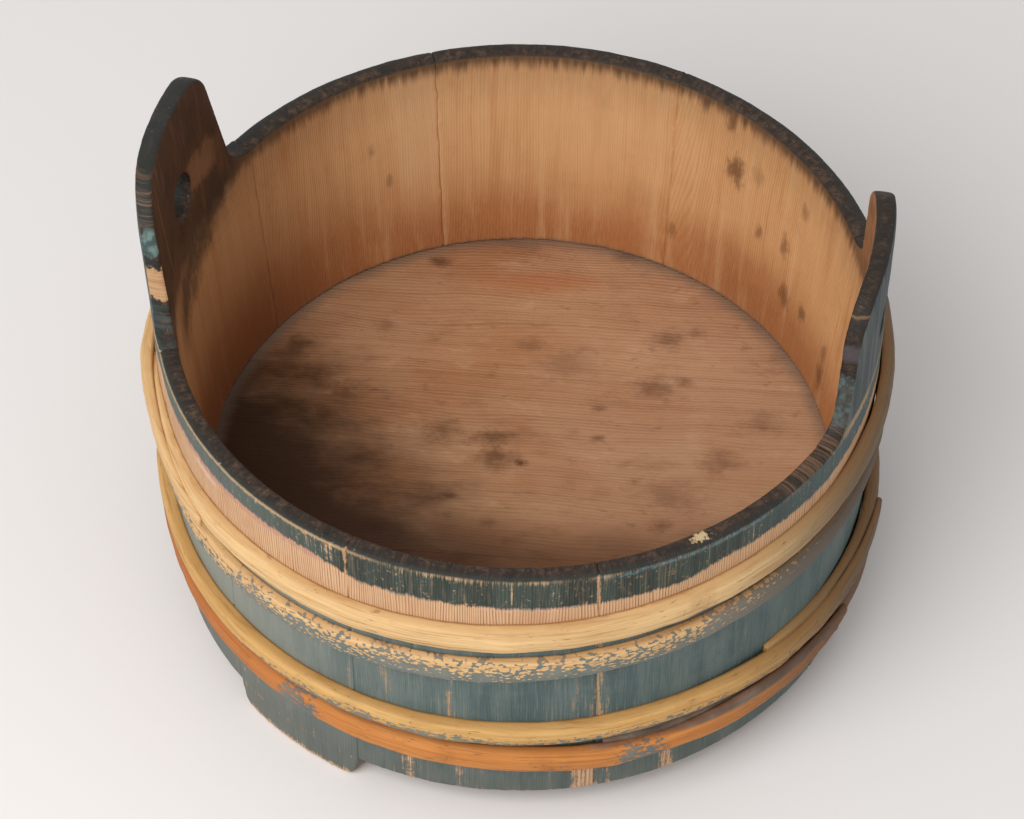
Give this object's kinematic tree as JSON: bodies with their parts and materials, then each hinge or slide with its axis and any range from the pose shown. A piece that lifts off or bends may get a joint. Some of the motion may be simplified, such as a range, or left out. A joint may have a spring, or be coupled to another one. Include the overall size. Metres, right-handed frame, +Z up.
{
  "type": "wooden milk tub",
  "caption": "Round coopered wooden tub on short stave feet, with raised pierced stave handles, a boarded bottom and split-wood hoops with lapped carved ends, for holding and carrying milk.",
  "frame": {"origin": "on the ground under the middle of the tub", "axes": "+Z up along the tub's axis, +X through the right handle as the picture shows it, +Y to the back"},
  "size_m": [0.4186, 0.4121, 0.292],
  "materials": {
    "painted_pine": "old blue-grey milk paint worn through to bare pine outside, bare pine inside",
    "bare_pine": "bare pine, stained and worn",
    "hoop_wood": "bare split wood with flakes of paint",
    "ochre_wood": "split wood with a worn ochre tint"
  },
  "bodies": {
    "root": {"right_handle_stave": "painted_pine", "back_right_stave": "painted_pine", "back_stave": "painted_pine", "back_left_stave": "painted_pine", "left_handle_stave": "painted_pine", "left_stave": "painted_pine", "front_foot_stave": "painted_pine", "front_stave": "painted_pine", "front_right_stave": "painted_pine", "bottom_front_board": "bare_pine", "bottom_middle_board": "bare_pine", "bottom_back_board": "bare_pine", "bottom_dowels": "bare_pine", "top_hoop": "hoop_wood", "second_hoop": "hoop_wood", "third_hoop": "hoop_wood", "base_hoop": "ochre_wood"}
  },
  "joints": []
}
